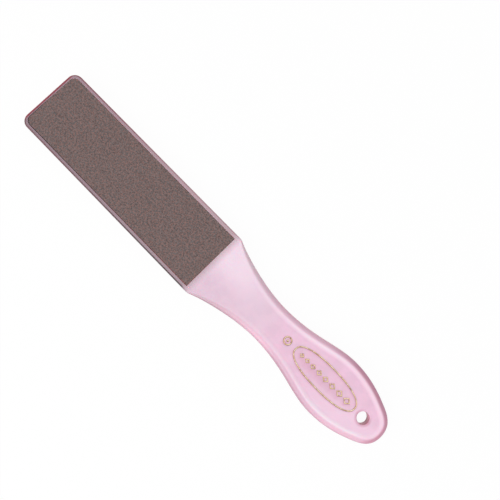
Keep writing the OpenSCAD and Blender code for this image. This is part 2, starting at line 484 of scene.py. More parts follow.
class Paint:
    """The nodes of one material, laid up from shares and tints."""

    def __init__(self, tree: bpy.types.NodeTree, noises: dict[str, tuple[float, float]]) -> None:
        """Starts with the place on the object and the finish's noises as signals.

        Args:
            tree: The material's empty tree.
            noises: For each noise the size of its patches in millimetres, and how many finer
                layers it has.
        """
        self.tree = tree
        metres = add_node(tree, "ShaderNodeTexCoord").outputs["Object"]
        inputs = {0: metres, "Scale": 1 / MM}
        place = add_node(tree, "ShaderNodeVectorMath", inputs, operation="SCALE")
        parts = add_node(tree, "ShaderNodeSeparateXYZ", {0: place}).outputs
        self.signals: dict[str | Tone, Any] = dict(zip("xyz", parts))
        for name, (patch, detail) in noises.items():
            inputs = {"Vector": place, "Scale": 1 / patch, "Detail": detail}
            self.signals[name] = add_node(tree, "ShaderNodeTexNoise", inputs)

    def share(self, share: Share) -> Any:
        """Adds the nodes that a share needs.

        Args:
            share: The share.

        Returns:
            The node or socket that gives it. A plain value is returned as it is.
        """
        if isinstance(share, Tone) and share not in self.signals:
            read = add_node(self.tree, "ShaderNodeAttribute", attribute_name=share.value)
            self.signals[share] = read.outputs["Fac"]
        if isinstance(share, (str, Tone)):
            return self.signals[share]
        if isinstance(share, Fade):
            inputs = {"Value": self.share(share.signal), "From Min": share.start}
            inputs |= {"From Max": share.end, "To Min": share.low, "To Max": share.high}
            kind = "ShaderNodeMapRange"
            return add_node(self.tree, kind, inputs, interpolation_type="SMOOTHSTEP")
        if isinstance(share, tuple):
            found, *others = (self.share(part) for part in share)
            for other in others:
                inputs = {0: found, 1: other}
                found = add_node(self.tree, "ShaderNodeMath", inputs, operation="MULTIPLY")
            return found
        return share

    def tint(self, tint: Tint) -> Any:
        """Adds the nodes that a tint needs.

        Args:
            tint: The tint.

        Returns:
            The node that gives it, or the colour itself where it is plain.
        """
        if isinstance(tint, str):
            return linear(tint)
        if isinstance(tint, tuple):
            tint = Blend("far_side", *tint)
        inputs = {
            MIX_SHARE: self.share(tint.share),
            MIX_BELOW: self.tint(tint.below),
            MIX_ABOVE: self.tint(tint.above),
        }
        return add_node(self.tree, "ShaderNodeMix", inputs, data_type="RGBA")


@dataclass(frozen=True)
class Finish:
    """One finish, named for the real material. Each kind of finish below describes its own.

    The noises give the size of a patch in millimetres and the number of finer layers. The
    relief gives, for a noise, its depth in millimetres and its strength.
    """

    name: str
    noises: ClassVar[dict[str, tuple[float, float]]]
    relief: ClassVar[dict[str, tuple[float, float]]]

    def shares(self) -> dict[str, Share]:
        """The shares that have a name. Each may read those before it."""
        return {}

    def tint(self) -> Tint:
        """The colour of the surface."""
        raise NotImplementedError

    def sockets(self) -> dict[str, Any]:
        """The shader's other sockets, each a share or a plain value."""
        raise NotImplementedError

    def material(self) -> bpy.types.Material:
        """Makes the finish's material.

        Returns:
            The new material.
        """
        made = bpy.data.materials.new(self.name)
        tree = empty_tree(made)
        paint = Paint(tree, self.noises)
        for name, share in self.shares().items():
            paint.signals[name] = paint.share(share)
        normal: dict[str, Any] = {}
        for name, (depth, strength) in self.relief.items():
            inputs = {"Height": paint.signals[name], "Distance": depth * MM, "Strength": strength}
            normal = {"Normal": add_node(tree, "ShaderNodeBump", inputs | normal)}
        sockets = {name: paint.share(value) for name, value in self.sockets().items()}
        sockets |= {"Base Color": paint.tint(self.tint()), **normal}
        shader = add_node(tree, "ShaderNodeBsdfPrincipled", sockets)
        add_node(tree, "ShaderNodeOutputMaterial", {"Surface": shader})
        return made


@dataclass(frozen=True)
class MouldedPlastic(Finish):
    """Translucent pink polypropylene, injection moulded in a satin mould.

    Light goes a few millimetres into it, which softens every edge. It looks milky with faint
    clouds on a broad face. Over that lie painted light and shade: painted rosy shade where the
    eye looks along an edge or into a cut, painted mauve shade where a dark abrasive sheet lies
    behind it, painted light on the grip's side at -Y toward the lamp, and painted light on the
    neck's side at +Y beside the paddle.
    """

    sheet_end: float
    paddle_end: float
    file_half_l: float
    mid_z: float
    # Broad faces: the neck's and the grip's, with clouds, painted light on the neck's side at +Y
    # beside the paddle and on the grip's side at -Y, painted shade beside the sheets, and
    # painted shade at the emblem's lines and round the hole
    face: str = "#ECCFE0"
    grip: str = "#F6CDE3"
    cloud: str = "#DABED2"
    pale: str = "#FBE2F1"
    lit: str = "#FCDCEE"
    shade: str = "#E3CAD6"
    line: str = "#D49CB6"
    # The bead round the grip: painted highlight along its crest, a pair per side at the neck
    # and on the grip, and one by the tip
    crests: tuple[str, str] = ("#F8DCEB", "#FFE7F4")
    grip_crest_highlights: tuple[str, str] = ("#FFEAF5", "#FDDDEC")
    tip_crest_highlight: str = "#FFDBEC"
    # The rounded edge: its upper part, and then its outer part, which the eye looks along. All
    # are painted light and shade: each pair differs by side, the low and grip colours paint shade
    # at the waist at -Y and on the grip at +Y, and the pale and tip colours paint light and
    # shade beside the paddle and at the tip
    edges: tuple[str, str] = ("#EABFD2", "#E4BCCF")
    low_edge: str = "#D8B1C4"
    grip_edge: str = "#CB92A8"
    pale_edges: tuple[str, str] = ("#CFB0BD", "#DCC2CD")
    outers: tuple[str, str] = ("#D0A4B6", "#E2AEBF")
    low_outer: str = "#BC91A3"
    grip_outer: str = "#BA7894"
    pale_outers: tuple[str, str] = ("#A58290", "#DCC2CD")
    tip_edge: str = "#D196AC"
    # The paddle's rim round the sheets: at the neck, at the far end, and its side wall. Its
    # mauve is painted shade from the dark sheets, its outer part and the far end's line are
    # darker painted shade, and its pale is painted light at +Y toward the neck
    rims: tuple[str, str] = ("#AD97A0", "#A68B96")
    far_rim: str = "#988089"
    rim_outers: tuple[str, str] = ("#32191F", "#8A4955")
    far_rim_outer: str = "#6C434A"
    rim_pale: str = "#D2B6BD"
    rim_end: str = "#8E3744"
    wall: str = "#C796A6"
    # Cut walls: round the sheet at the far end and at the neck, and in the hanging hole. Their
    # colours are painted shade and light: dark in the narrow gap at -Y, pale at +Y, red at -Y
    # by the neck, and rosy red in the hole
    cuts: tuple[str, str] = ("#452A34", "#F0CFD4")
    neck_cuts: tuple[str, str] = ("#F8897F", "#F4D6DA")
    hole_cuts: tuple[str, str] = ("#BA4C6A", "#E294AC")
    # The mould's satin is about 0.05 mm fine, and is drawn coarser so that it shows
    noises = {"clouds": (7.0, 4.0), "satin": (0.35, 2.0), "flow": (11.0, 1.0)}
    relief = {"flow": (0.25, 0.5), "satin": (0.02, 0.4)}

    def shares(self) -> dict[str, Share]:
        """Says where on the file each tone of the plastic lies.

        Returns:
            The shares by name.
        """
        end, middle = -self.file_half_l, self.mid_z
        return {
            "far_side": Fade("y", -7, 7),
            "toward_neck": Fade("x", end, 0),
            # Where the far end's dark red line of painted shade lies
            "at_far_end": Fade("x", end + 1.4, end + 0.9),
            "on_paddle": Fade("x", self.paddle_end + 1.5, self.paddle_end - 6),
            # Painted shade on the neck's face just beside the sheet's end
            "by_sheet": Fade("x", self.sheet_end + 5.5, self.sheet_end, 0, 0.7),
            "by_paddle": Fade("x", 42, 8, 0, 0.9),
            "toward_grip": Fade("x", 30, 56),
            # Where the edge gets painted shade at the waist, on the side at -Y
            "at_waist": (Fade("x", 44, 60), Fade("x", 104, 78)),
            "on_grip": Fade("x", 66, 98),
            "by_tip": Fade("x", 112, 121),
            "at_tip": Fade("x", 117, 123, 0, 0.9),
            # Painted light on the grip's side at -Y toward the lamp, on the neck's side at +Y
            # beside the paddle, and on the rim at +Y toward the neck
            "lit": ("on_grip", Fade("far_side", 0, 1, 0.55, 0)),
            "milky": ("by_paddle", "far_side"),
            "milky_rim": ("toward_neck", "far_side", 0.6),
            "clouded": Fade("clouds", 0.35, 0.65, 0, 0.3),
            # Painted shade on and beside the emblem's raised lines, and round the hole
            "on_line": (Tone.LINE, 0.8),
            "on_edge": Fade(Tone.EDGE, 0, 0.5),
            "on_outer_edge": Fade(Tone.EDGE, 0.6, 1),
            "on_outer_rim": Fade(Tone.EDGE, 0, 0.3),
            "halfway_down": (
                Fade("z", middle - 2.4, middle - 1.2, 0, 0.8),
                Fade("z", middle + 2.4, middle + 1.2),
            ),
        }

    def edge_tint(
        self, pair: tuple[str, str], low: str, grip: str, pales: tuple[str, str]
    ) -> Tint:
        """Tint of a part of the rounded edge, painted light and shade that differ by side.

        Args:
            pair: Its colours beside the neck.
            low: Its colour at the waist, on the side at -Y, which paints shade there.
            grip: Its colour on the grip, on the side at +Y, which paints shade there.
            pales: Its painted light and shade beside the paddle.

        Returns:
            The whole part's tint.
        """
        near, far = Blend("at_waist", pair[0], low), Blend("on_grip", pair[1], grip)
        edge = Blend("far_side", near, far)
        return layered(edge, ("by_paddle", pales), ("at_tip", self.tip_edge))

    def rim_tint(self, pair: tuple[str, str], far_end: str) -> Tint:
        """Tint of a part of the paddle's rim: painted shade from the dark sheets, and painted
        light at +Y toward the neck.

        Args:
            pair: Its colours at the neck.
            far_end: Its colour at the far end, on the side at -Y, in painted shade.

        Returns:
            The whole part's tint.
        """
        rim = Blend("far_side", Blend("toward_neck", far_end, pair[0]), pair[1])
        return layered(rim, ("milky_rim", self.rim_pale))

    def tint(self) -> Tint:
        """The plastic's tones, one over the other: its own colours and clouds, under painted light
        and shade.

        Returns:
            The tint that they make together.
        """
        crest = layered(self.crests, ("on_grip", self.grip_crest_highlights), ("by_tip", self.tip_crest_highlight))
        rim = layered(
            self.rim_tint(self.rims, self.far_rim),
            ("on_outer_rim", self.rim_tint(self.rim_outers, self.far_rim_outer)),
            ("at_far_end", self.rim_end),
            ("halfway_down", self.wall),
        )
        edge = self.edge_tint(self.edges, self.low_edge, self.grip_edge, self.pale_edges)
        outer = self.edge_tint(self.outers, self.low_outer, self.grip_outer, self.pale_outers)
        cut = layered(self.cuts, ("toward_neck", self.neck_cuts), ("on_grip", self.hole_cuts))
        return layered(
            self.face,
            ("toward_grip", self.grip),
            ("clouded", self.cloud),
            # Painted light on the neck's side at +Y and on the grip's side at -Y
            ("milky", self.pale),
            ("lit", self.lit),
            # Painted highlight along the bead's crest
            (Tone.CREST, crest),
            # Painted shade at the raised lines and round the hole
            ("on_line", self.line),
            # Painted light and shade along the rounded edge
            ("on_edge", edge),
            ("on_outer_edge", outer),
            # Painted shade on the neck's face beside the sheet
            ("by_sheet", self.shade),
            # The rim's painted shade from the dark sheets, and its painted light toward the neck
            ("on_paddle", rim),
            # Painted shade and light in the recesses' gaps and in the hole
            (Tone.WALL, cut),
        )

    def sockets(self) -> dict[str, Any]:
        """Satin gloss that varies as the melt flowed, and milky depth.

        Returns:
            The values by socket.
        """
        return {
            "Roughness": Fade("flow", 0.3, 0.7, 0.36, 0.46),
            "IOR": 1.49,
            "Subsurface Weight": 0.35,
            "Subsurface Radius": [1.0, 0.45, 0.6],
            "Subsurface Scale": 2.0 * MM,
        }


@dataclass(frozen=True)
class GritCoat(Finish):
    """Mineral grains bound on a sheet with phenolic resin.

    Each grain is a dull little crystal of its own tone, so the coat looks speckled and dry,
    and the resin between the grains is darker.
    """

    resin: str = "#61514F"
    main: str = "#7C605B"
    warm: str = "#966F68"
    cool: str = "#5B4C4B"
    slate: str = "#676E71"
    ior: float = 1.6
    glint: float = 0.5
    noises = {"patches": (0.9, 2.0), "specks": (0.72, 1.0), "facets": (0.12, 1.0)}
    relief = {"facets": (0.05, 0.5)}

    def shares(self) -> dict[str, Share]:
        """Tells the grains from the resin, and their tones by chance and by patches.

        Returns:
            The shares by name.
        """
        return {
            "on_grain": Fade(Tone.GRAIN, 0.05, 0.1),
            "dark_grain": Fade(Tone.GRAIN, 0.45, 0.2),
            "light_grain": Fade(Tone.GRAIN, 0.62, 0.95),
            "patched": Fade("on_grain", 0, 1, 0.7, 0.9),
            "usual_patch": Fade("patches", 0.38, 0.5),
            "light_patch": Fade("patches", 0.5, 0.62),
            "speckled": Fade("specks", 0.4, 0.7, 0, 0.5),
        }

    def tint(self) -> Tint:
        """The resin, the grains' own tones, and patches where many grains are alike.

        Returns:
            The tint that they make together.
        """
        grain = layered(self.main, ("light_grain", self.warm), ("dark_grain", self.cool))
        patch = layered(self.cool, ("usual_patch", self.main), ("light_patch", self.warm))
        layers = (("on_grain", grain), ("patched", patch), ("speckled", self.slate))
        return layered(self.resin, *layers)

    def sockets(self) -> dict[str, Any]:
        """Dry grains with a small glint. See Finish.sockets."""
        return {"Roughness": 0.8, "IOR": self.ior, "Specular IOR Level": self.glint}


@dataclass(frozen=True)
class StampedFoil(Finish):
    """Gold hot-stamping foil on moulded lines. Patches of bright gold are painted highlights, and
    the brown in spots, along the sides and on the flank at -Y is painted shade and dark
    reflections, with some wear where the foil is thin.
    """

    # The deep gold is the foil's own; brighter gold patches are painted highlights, and the brown
    # is painted shade and dark reflections with some wear
    gold: str = "#FFF1CC"
    deep: str = "#E0BE8A"
    shade_and_wear: str = "#7C5344"
    noises = {"wear": (1.1, 3.0), "tarnish": (1.6, 2.0), "creases": (0.4, 2.0)}
    relief = {"creases": (0.06, 0.5)}

    def tint(self) -> Tint:
        """Two golds in patches, the brighter a painted highlight, and brown painted shade and dark
        reflection, with some wear, in spots and along the edges.

        Returns:
            The tint that they make together.
        """
        return layered(
            self.deep,
            # Painted highlight in patches of the brighter gold
            (Fade("wear", 0.3, 0.7), self.gold),
            # Painted dark reflections in spots, and painted shade with some wear along the edges
            # and the flank at -Y
            (Fade("tarnish", 0.5, 0.68, 0, 0.6), self.shade_and_wear),
            (Fade(Tone.EDGE, 0.3, 0.85), self.shade_and_wear),
        )

    def sockets(self) -> dict[str, Any]:
        """Metal that is glossier where it is less worn. See Finish.sockets."""
        return {"Roughness": Fade("wear", 0.3, 0.7, 0.48, 0.3), "Metallic": 1.0}


@dataclass(frozen=True)
class BackingPaper(Finish):
    """Waterproof latex paper that carries the grains, die cut, with short fibres at its edge."""

    paper: str = "#6E5A55"
    fibre: str = "#85706A"
    noises = {"fibres": (0.5, 4.0)}
    relief = {"fibres": (0.05, 0.5)}

    def tint(self) -> Tint:
        """The paper with its paler fibres."""
        return Blend(Fade("fibres", 0.35, 0.7), self.paper, self.fibre)

    def sockets(self) -> dict[str, Any]:
        """Matt paper. See Finish.sockets."""
        return {"Roughness": 0.85}


@dataclass(frozen=True)
class AdhesiveFilm(Finish):
    """Clear acrylic adhesive film: glossy, and red with the plastic that shows through it."""

    film: str = "#B9606C"
    bubble: str = "#D08A90"
    noises = {"spots": (2.5, 2.0)}
    relief = {"spots": (0.05, 0.4)}

    def tint(self) -> Tint:
        """The film with paler spots, where air lies under it."""
        return Blend(Fade("spots", 0.5, 0.75), self.film, self.bubble)

    def sockets(self) -> dict[str, Any]:
        """Glossy acrylic. See Finish.sockets."""
        return {"Roughness": 0.3, "IOR": 1.47}


@dataclass
class PaddleOutline:
    """The file's plan, measured along x from the far end, and the section of its edges.

    The two shares of a curve say how far it keeps its first and its last direction, as shares
    of its length, or of the flank's half width for the cap's last one.
    """

    rim_end_w: float = 1.6
    rim_far_w: float = 1.95
    rim_neck_w: float = 2.35
    side_gap: float = 0.25
    end_gap: float = 0.2
    corner_r: float = 4.8
    shoulder_run: float = 2.9
    shoulder_angle: float = 25.0
    shoulder_round: float = 1.5
    neck_l: float = 41.7
    waist_w: float = 22.6
    rise_l: float = 48.0
    grip_w: float = 36.4
    flank_l: float = 24.6
    flank_w: float = 26.4
    flank_angle: float = 22.0
    cap_l: float = 12.0
    shoulder_shares: tuple[float, float] = (2 / 3, 2 / 3)
    neck_shares: tuple[float, float] = (0.09, 0.39)
    rise_shares: tuple[float, float] = (0.48, 0.295)
    flank_shares: tuple[float, float] = (0.355, 0.33)
    cap_shares: tuple[float, float] = (0.422, 0.674)
    bead_h: float = 0.3
    # Beside the paddle and on the grip: width and height of the edge's rounding, width of the
    # bead's slope, and how far before the slope the flat face ends
    edge_w: tuple[float, float] = (0.8, 3.4)
    edge_h: tuple[float, float] = (0.8, 2.9)
    slope_w: tuple[float, float] = (0.2, 2.4)
    face_margin: tuple[float, float] = (0.03, 0.43)
    # The share of the edge's painted light and shade on the slope beside the paddle, how soon
    # the crest's painted highlight comes along the neck, and where it ends on the rounding
    soft_edge: float = 0.1
    crest_power: float = 0.6
    crest_end: float = 0.4
    # Points on each part of the outline's half, which are corner, side, shoulder, neck, rise,
    # flank and cap, and on the far end between the two corners
    counts: tuple[int, ...] = (17, 30, 12, 64, 64, 36, 36)
    end_count: int = 12
    edge_steps: int = 16
    bead_steps: int = 10
    sheet_l: float = field(init=False)
    sheet_w: float = field(init=False)
    far_x: float = field(init=False)
    mid_z: float = field(init=False)
    face_half_t: float = field(init=False)

    def __post_init__(self) -> None:
        """Takes the sheet's size, the far end's place and the heights from the frame."""
        low, high = box_mm("coarse_grit")
        self.sheet_l, self.sheet_w = high[0] - low[0], high[1] - low[1]
        low, high = box_mm("handle_body")
        self.far_x = low[0]
        self.mid_z = (low[2] + high[2]) / 2
        self.face_half_t = (high[2] - low[2]) / 2 - self.bead_h

    @property
    def recess_l(self) -> float:
        """Length of a sheet's recess."""
        return self.sheet_l + 2 * self.end_gap

    @property
    def recess_half_w(self) -> tuple[float, float]:
        """Half the width of a sheet's recess, at the far end and where the neck begins."""
        return SHEET_FAR_W / 2 + self.side_gap, self.sheet_w / 2 + self.side_gap

    @property
    def shoulder_x(self) -> float:
        """Place where the paddle starts to narrow, from the far end."""
        return self.rim_end_w + self.recess_l + self.shoulder_run

    @property
    def grip_x(self) -> float:
        """Place of the grip's widest point, from the far end."""
        return self.shoulder_x + self.neck_l + self.rise_l

    def half_loop(self) -> np.ndarray:
        """The outline's half with positive y.

        Returns:
            Its points, from the far end to the tip.
        """
        far_half, neck_half = self.recess_half_w
        far_half += self.rim_far_w
        corner_count, side_count, *curve_counts = self.counts
        turn = np.radians(np.linspace(180, 90, corner_count))
        corner_y = far_half - self.corner_r * (1 - np.sin(turn))
        corner = np.column_stack([self.corner_r * (1 + np.cos(turn)), corner_y])
        peak = np.array([self.shoulder_x, neck_half + self.rim_neck_w])
        slope = np.array([1, (peak[1] - far_half) / (peak[0] - self.corner_r)])
        fall, flank_fall = (
            np.array([1, -math.tan(math.radians(angle))])
            for angle in (self.shoulder_angle, self.flank_angle)
        )
        waist = np.array([self.shoulder_x + self.neck_l, self.waist_w / 2])
        grip = np.array([self.grip_x, self.grip_w / 2])
        flank = np.array([self.grip_x + self.flank_l, self.flank_w / 2])
        tip = np.array([flank[0] + self.cap_l, 0])
        level, down = np.array([1, 0]), np.array([0, -flank[1]])
        bend = self.shoulder_round
        parts = [corner, straight(corner[-1], peak - bend * slope, side_count)]
        curves = (
            (peak + bend * fall, self.shoulder_shares, bend * slope, bend * fall),
            (waist, self.neck_shares, self.neck_l * fall, self.neck_l * level),
            (grip, self.rise_shares, self.rise_l * level, self.rise_l * level),
            (flank, self.flank_shares, self.flank_l * level, self.flank_l * flank_fall),
            (tip, self.cap_shares, self.cap_l * flank_fall, down),
        )
        for (end, shares, leave, arrive), count in zip(curves, curve_counts):
            start = parts[-1][-1]
            leave, arrive = start + shares[0] * leave, end - shares[1] * arrive
            parts.append(bezier(start, leave, arrive, end, count))
        return np.concatenate(parts)

    def loop(self) -> tuple[np.ndarray, np.ndarray]:
        """The whole outline, from the far end over positive y to the tip and back.

        Returns:
            Its points, and the direction out of the file at each of them.
        """
        half = self.half_loop()
        back = half[-2::-1] * np.array([1, -1])
        points = np.concatenate([half, back, straight(back[-1], half[0], self.end_count)[:-1]])
        before, after = np.roll(points, 1, axis=0), np.roll(points, -1, axis=0)
        tangent = unit(unit(points - before) + unit(after - points))
        return points, np.column_stack([-tangent[:, 1], tangent[:, 0]])

    def edge_rows(self, x: np.ndarray) -> list[tuple[Any, Any, dict[Tone, Any]]]:
        """Section of the edge at places along the file, from the flat face to the side.

        Args:
            x: The places, from the far end.

        Returns:
            For each row its distance in from the outline, its height above the middle and
            its tones. Each is one value for every place.
        """
        grip = smooth((x - self.shoulder_x) / (self.grip_x - self.shoulder_x))
        rounded = 1 - (1 - np.clip((x - self.shoulder_x) / self.neck_l, 0, 1)) ** 3
        wide, tall = ramp(self.edge_w, rounded), ramp(self.edge_h, rounded)
        slope_w, margin = ramp(self.slope_w, rounded), ramp(self.face_margin, grip)
        bead, soft, crest = self.bead_h * grip, self.soft_edge * (1 - grip), grip**self.crest_power
        rows = [(wide + slope_w + margin, self.face_half_t, {})]
        for step in np.linspace(1, 0, self.bead_steps + 1)[:-1]:
            height = self.face_half_t + bead * (1 + math.cos(math.pi * step)) / 2
            tones = {Tone.CREST: crest * smooth(1 - step), Tone.EDGE: soft * (1 - step)}
            rows.append((wide + slope_w * step, height, tones))
        for out, down in quarter_round(self.edge_steps + 1):
            near_top = smooth(1 - (1 - out) / self.crest_end)
            tones = {Tone.CREST: crest * near_top, Tone.EDGE: soft + (1 - soft) * (1 - out)}
            rows.append((wide * out, self.face_half_t + bead - tall * down, tones))
        return rows


@dataclass(frozen=True)
class RoundLoop:
    """A closed round line: a circle, an ellipse or a fuller oval."""

    middle_x: float
    half_l: float
    half_w: float
    fullness: float = 0.0
    count: int = 48

    def at(self, depth: float) -> np.ndarray:
        """Points of the loop.

        Args:
            depth: How far in from the loop they lie.

        Returns:
            The points, one in each row.
        """
        turn = np.linspace(0, 2 * math.pi, self.count, endpoint=False)
        way = np.column_stack([np.cos(turn), np.sin(turn)])
        way = np.sign(way) * np.abs(way) ** (1 - self.fullness)
        return way * (self.half_l - depth, self.half_w - depth) + (self.middle_x, 0.0)


@dataclass(frozen=True)
class LozengeLoop:
    """A closed lozenge with slightly rounded corners."""

    middle_x: float
    half_l: float
    half_w: float
    corner_r: float = 0.22
    least_r: float = 0.05
    corner_steps: int = 6

    def at(self, depth: float) -> np.ndarray:
        """Points of the loop.

        Args:
            depth: How far in from the loop they lie.

        Returns:
            The points, one in each row.
        """
        radius = max(self.corner_r - depth, self.least_r)
        side_distance = self.half_l * self.half_w / math.hypot(self.half_l, self.half_w)
        shrunk = 1 - (depth + radius) / side_distance
        lean = math.atan2(self.half_l, self.half_w)
        ends = ((self.half_l, 0.0), (0.0, self.half_w), (-self.half_l, 0.0), (0.0, -self.half_w))
        points = []
        for i, (x, y) in enumerate(ends):
            reach = lean if i % 2 == 0 else math.pi / 2 - lean
            middle = i * math.pi / 2
            for turn in np.linspace(middle - reach, middle + reach, self.corner_steps):
                dx, dy = radius * math.cos(turn), radius * math.sin(turn)
                points.append((self.middle_x + x * shrunk + dx, y * shrunk + dy))
        return np.array(points)


@dataclass(frozen=True)
class RaisedLine:
    """One raised line of the emblem, of a given width. A full dot is as wide as its radius.

    A framed line lies within another one, where the plastic gets a little painted rosy shade.
    The rooms are the widths outside and inside a line that its painted soft shadow may take.
    The fullness is the power that makes its section a rounded hump.
    """

    loop: RoundLoop | LozengeLoop
    width: float
    is_dot: bool = False
    is_framed: bool = False
    rooms: tuple[float, float] = (0.0, 0.0)
    shadow_share: float = 0.5
    fullness: float = 2.6
    count: int = 15

    def crown(self, share: float) -> float:
        """Share of the full height at a share of the way across the line."""
        return (1 - abs(2 * share - 1) ** self.fullness) ** (1 / self.fullness)

    def shares(self, start: float) -> list[float]:
        """Shares across the line, close together near its edges. A dot gets only half of them.

        Args:
            start: First share. The last is the same distance from the other edge.

        Returns:
            The shares in order.
        """
        turns = np.linspace(0, math.pi, self.count)
        found = [start + (1 - 2 * start) * (1 - math.cos(t)) / 2 for t in turns]
        return found[: self.count // 2] if self.is_dot else found

    def across(self, share: float) -> np.ndarray:
        """Points of the line at a share of the way across, from its outer edge."""
        return self.loop.at(share * self.width * (2 if self.is_dot else 1))

    def lean(self, share: float) -> np.ndarray:
        """How far the line's flank faces -Y.

        Args:
            share: Share of the way across the line.

        Returns:
            A value from -1 to 1 for each point.
        """
        points = self.loop.at(0.0)
        along = np.roll(points, -1, axis=0) - np.roll(points, 1, axis=0)
        return along[:, 0] / np.hypot(*along.T) * (1 - 2 * share)

    def shadow(self, share: float) -> np.ndarray:
        """Share of painted shadow beside the flank at a share of the way across, on its -Y side.
        """
        return self.shadow_share * np.clip(self.lean(share), 0, 1)


@dataclass
class Emblem:
    """The emblem: an oval, a row of lozenges that grow in it, and a ring with a dot."""

    line_w: float = 0.8
    line_h: float = 0.25
    fullness: float = 0.15
    lozenge_count: int = 8
    lozenge_min: float = 3.2
    lozenge_max: float = 5.0
    lozenge_line_w: float = 0.7
    lozenge_gap: float = 0.7
    lozenge_share: float = 0.86
    dot_d: float = 1.4
    # Width of the painted soft shadow beside the oval and outside the small ring
    shadow_w: float = 0.9
    oval_count: int = 260
    ring_count: int = 72
    dot_count: int = 36
    # The foil: its thickness, how far it starts in from a line's edges as a share of the
    # width, how deep it sits in the plastic, and how much painted shade darkens a flank facing -Y
    foil_t: float = 0.05
    foil_start: float = 0.07
    foil_sunk: float = 0.01
    foil_shade: float = 0.75

    def oval(self) -> list[RaisedLine]:
        """The oval line.

        Returns:
            A list of this one line.
        """
        (x0, y0, _), (x1, y1, _) = box_mm("oval_foil")
        middle, half_l, half_w = (x0 + x1) / 2, (x1 - x0) / 2, (y1 - y0) / 2
        loop = RoundLoop(middle, half_l, half_w, self.fullness, self.oval_count)
        return [RaisedLine(loop, self.line_w, rooms=(self.shadow_w, self.shadow_w))]

    def lozenges(self) -> list[RaisedLine]:
        """The row of lozenges.

        Returns:
            Their lines, from the smallest to the largest.
        """
        x = box_mm("lozenge_foil")[0][0]
        lines = []
        for size in np.linspace(self.lozenge_min, self.lozenge_max, self.lozenge_count):
            loop = LozengeLoop(x + size / 2, size / 2, size / 2 * self.lozenge_share)
            lines.append(RaisedLine(loop, self.lozenge_line_w, is_framed=True))
            x += size + self.lozenge_gap
        return lines

    def small_ring(self) -> list[RaisedLine]:
        """The small ring and the dot in it.

        Returns:
            The ring's line and the dot's.
        """
        (x0, _, _), (x1, _, _) = box_mm("ring_foil")
        middle, half, dot_r = (x0 + x1) / 2, (x1 - x0) / 2, self.dot_d / 2
        ring = RoundLoop(middle, half, half, count=self.ring_count)
        dot = RoundLoop(middle, dot_r, dot_r, count=self.dot_count)
        return [
            RaisedLine(ring, self.line_w, rooms=(self.shadow_w, 0.0)),
            RaisedLine(dot, dot_r, is_dot=True, is_framed=True),
        ]

    def lines(self) -> list[RaisedLine]:
        """All of the emblem's lines."""
        return self.oval() + self.lozenges() + self.small_ring()

    def stamp(self, name: str, node: str, lines: list[RaisedLine], foil: Finish) -> None:
        """Makes the gold foil on some of the lines, as thin closed shells.

        Args:
            name: The piece's name.
            node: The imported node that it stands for.
            lines: The lines that the foil lies on.
            foil: Its finish.
        """
        shell = Shell(Tone.EDGE)
        face_z = box_mm(node)[1][2] - self.line_h - self.foil_t
        for line in lines:
            skins: list[list[Ring]] = []
            for height, sunk in ((self.line_h + self.foil_t, 0.0), (self.line_h, self.foil_sunk)):
                skins.append([])
                for share in line.shares(self.foil_start):
                    z = face_z + height * line.crown(share) - sunk
                    # The edge tone puts painted shade on the foil's sides and on the flank that
                    # faces -Y
                    edge = abs(2 * share - 1) + self.foil_shade * line.lean(share)
                    skins[-1].append(shell.ring(line.across(share), z, {Tone.EDGE: edge}))
                if line.is_dot:
                    shell.band(skins[-1])
                    shell.fan(skins[-1][-1], face_z + height - sunk)
            if line.is_dot:
                shell.band([skins[0][0], skins[1][0]])
            else:
                shell.band(skins[0] + skins[1][::-1], closed=True)
        piece = shell.mesh_object(name)
        piece.data.materials.append(foil.material())
        seat(piece, "gold_foil", node)


